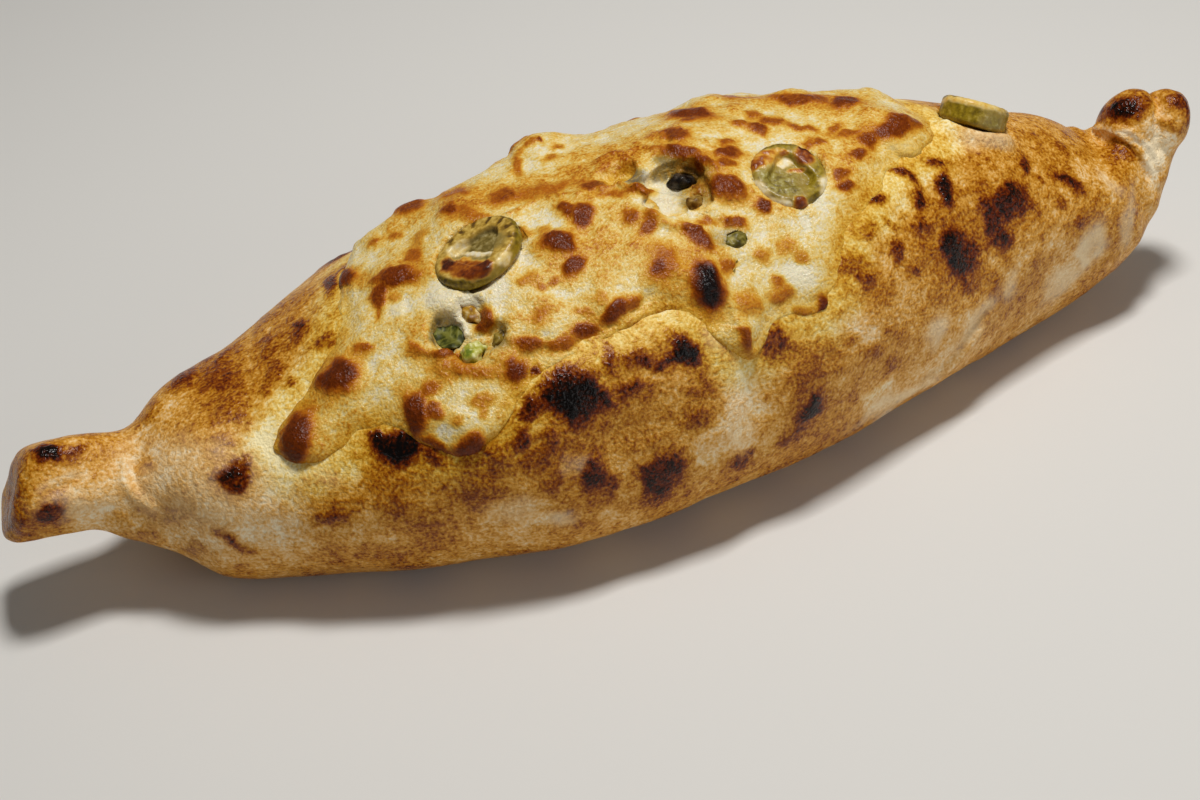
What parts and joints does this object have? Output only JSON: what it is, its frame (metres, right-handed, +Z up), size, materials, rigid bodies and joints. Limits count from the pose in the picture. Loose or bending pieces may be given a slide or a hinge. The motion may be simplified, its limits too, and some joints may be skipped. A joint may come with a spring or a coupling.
{
  "type": "stuffed baguette",
  "caption": "Spindle-shaped stuffed bread with pinched ends, baked brown, split on top over melted browned cheese, with chilli slices and pieces of filling.",
  "frame": {"origin": "centre of the bounding box at the resting face", "axes": "+X along the loaf towards its upturned knob end, +Z up from the resting face, -Y the near side of the picture"},
  "size_m": [0.3422, 0.118, 0.0829],
  "materials": {
    "crust": "baked dough, satin with brown and charred spots",
    "melted_cheese": "melted cheese, oily gloss with browned blisters",
    "chilli": "pickled chilli, wet gloss",
    "pepper": "cooked pepper, wet gloss",
    "olive": "black olive, wet gloss",
    "mushroom": "cooked mushroom, moist",
    "leaf": "wilted green leaf"
  },
  "bodies": {
    "root": {"crust": "crust", "melted_cheese": "melted_cheese", "chilli_slice_1": "chilli", "chilli_slice_2": "chilli", "chilli_slice_3": "chilli", "pepper_piece_1": "pepper", "pepper_piece_2": "pepper", "pepper_piece_3": "pepper", "pepper_piece_4": "pepper", "olive_piece": "olive", "mushroom_piece": "mushroom", "leaf_piece": "leaf"}
  },
  "joints": []
}
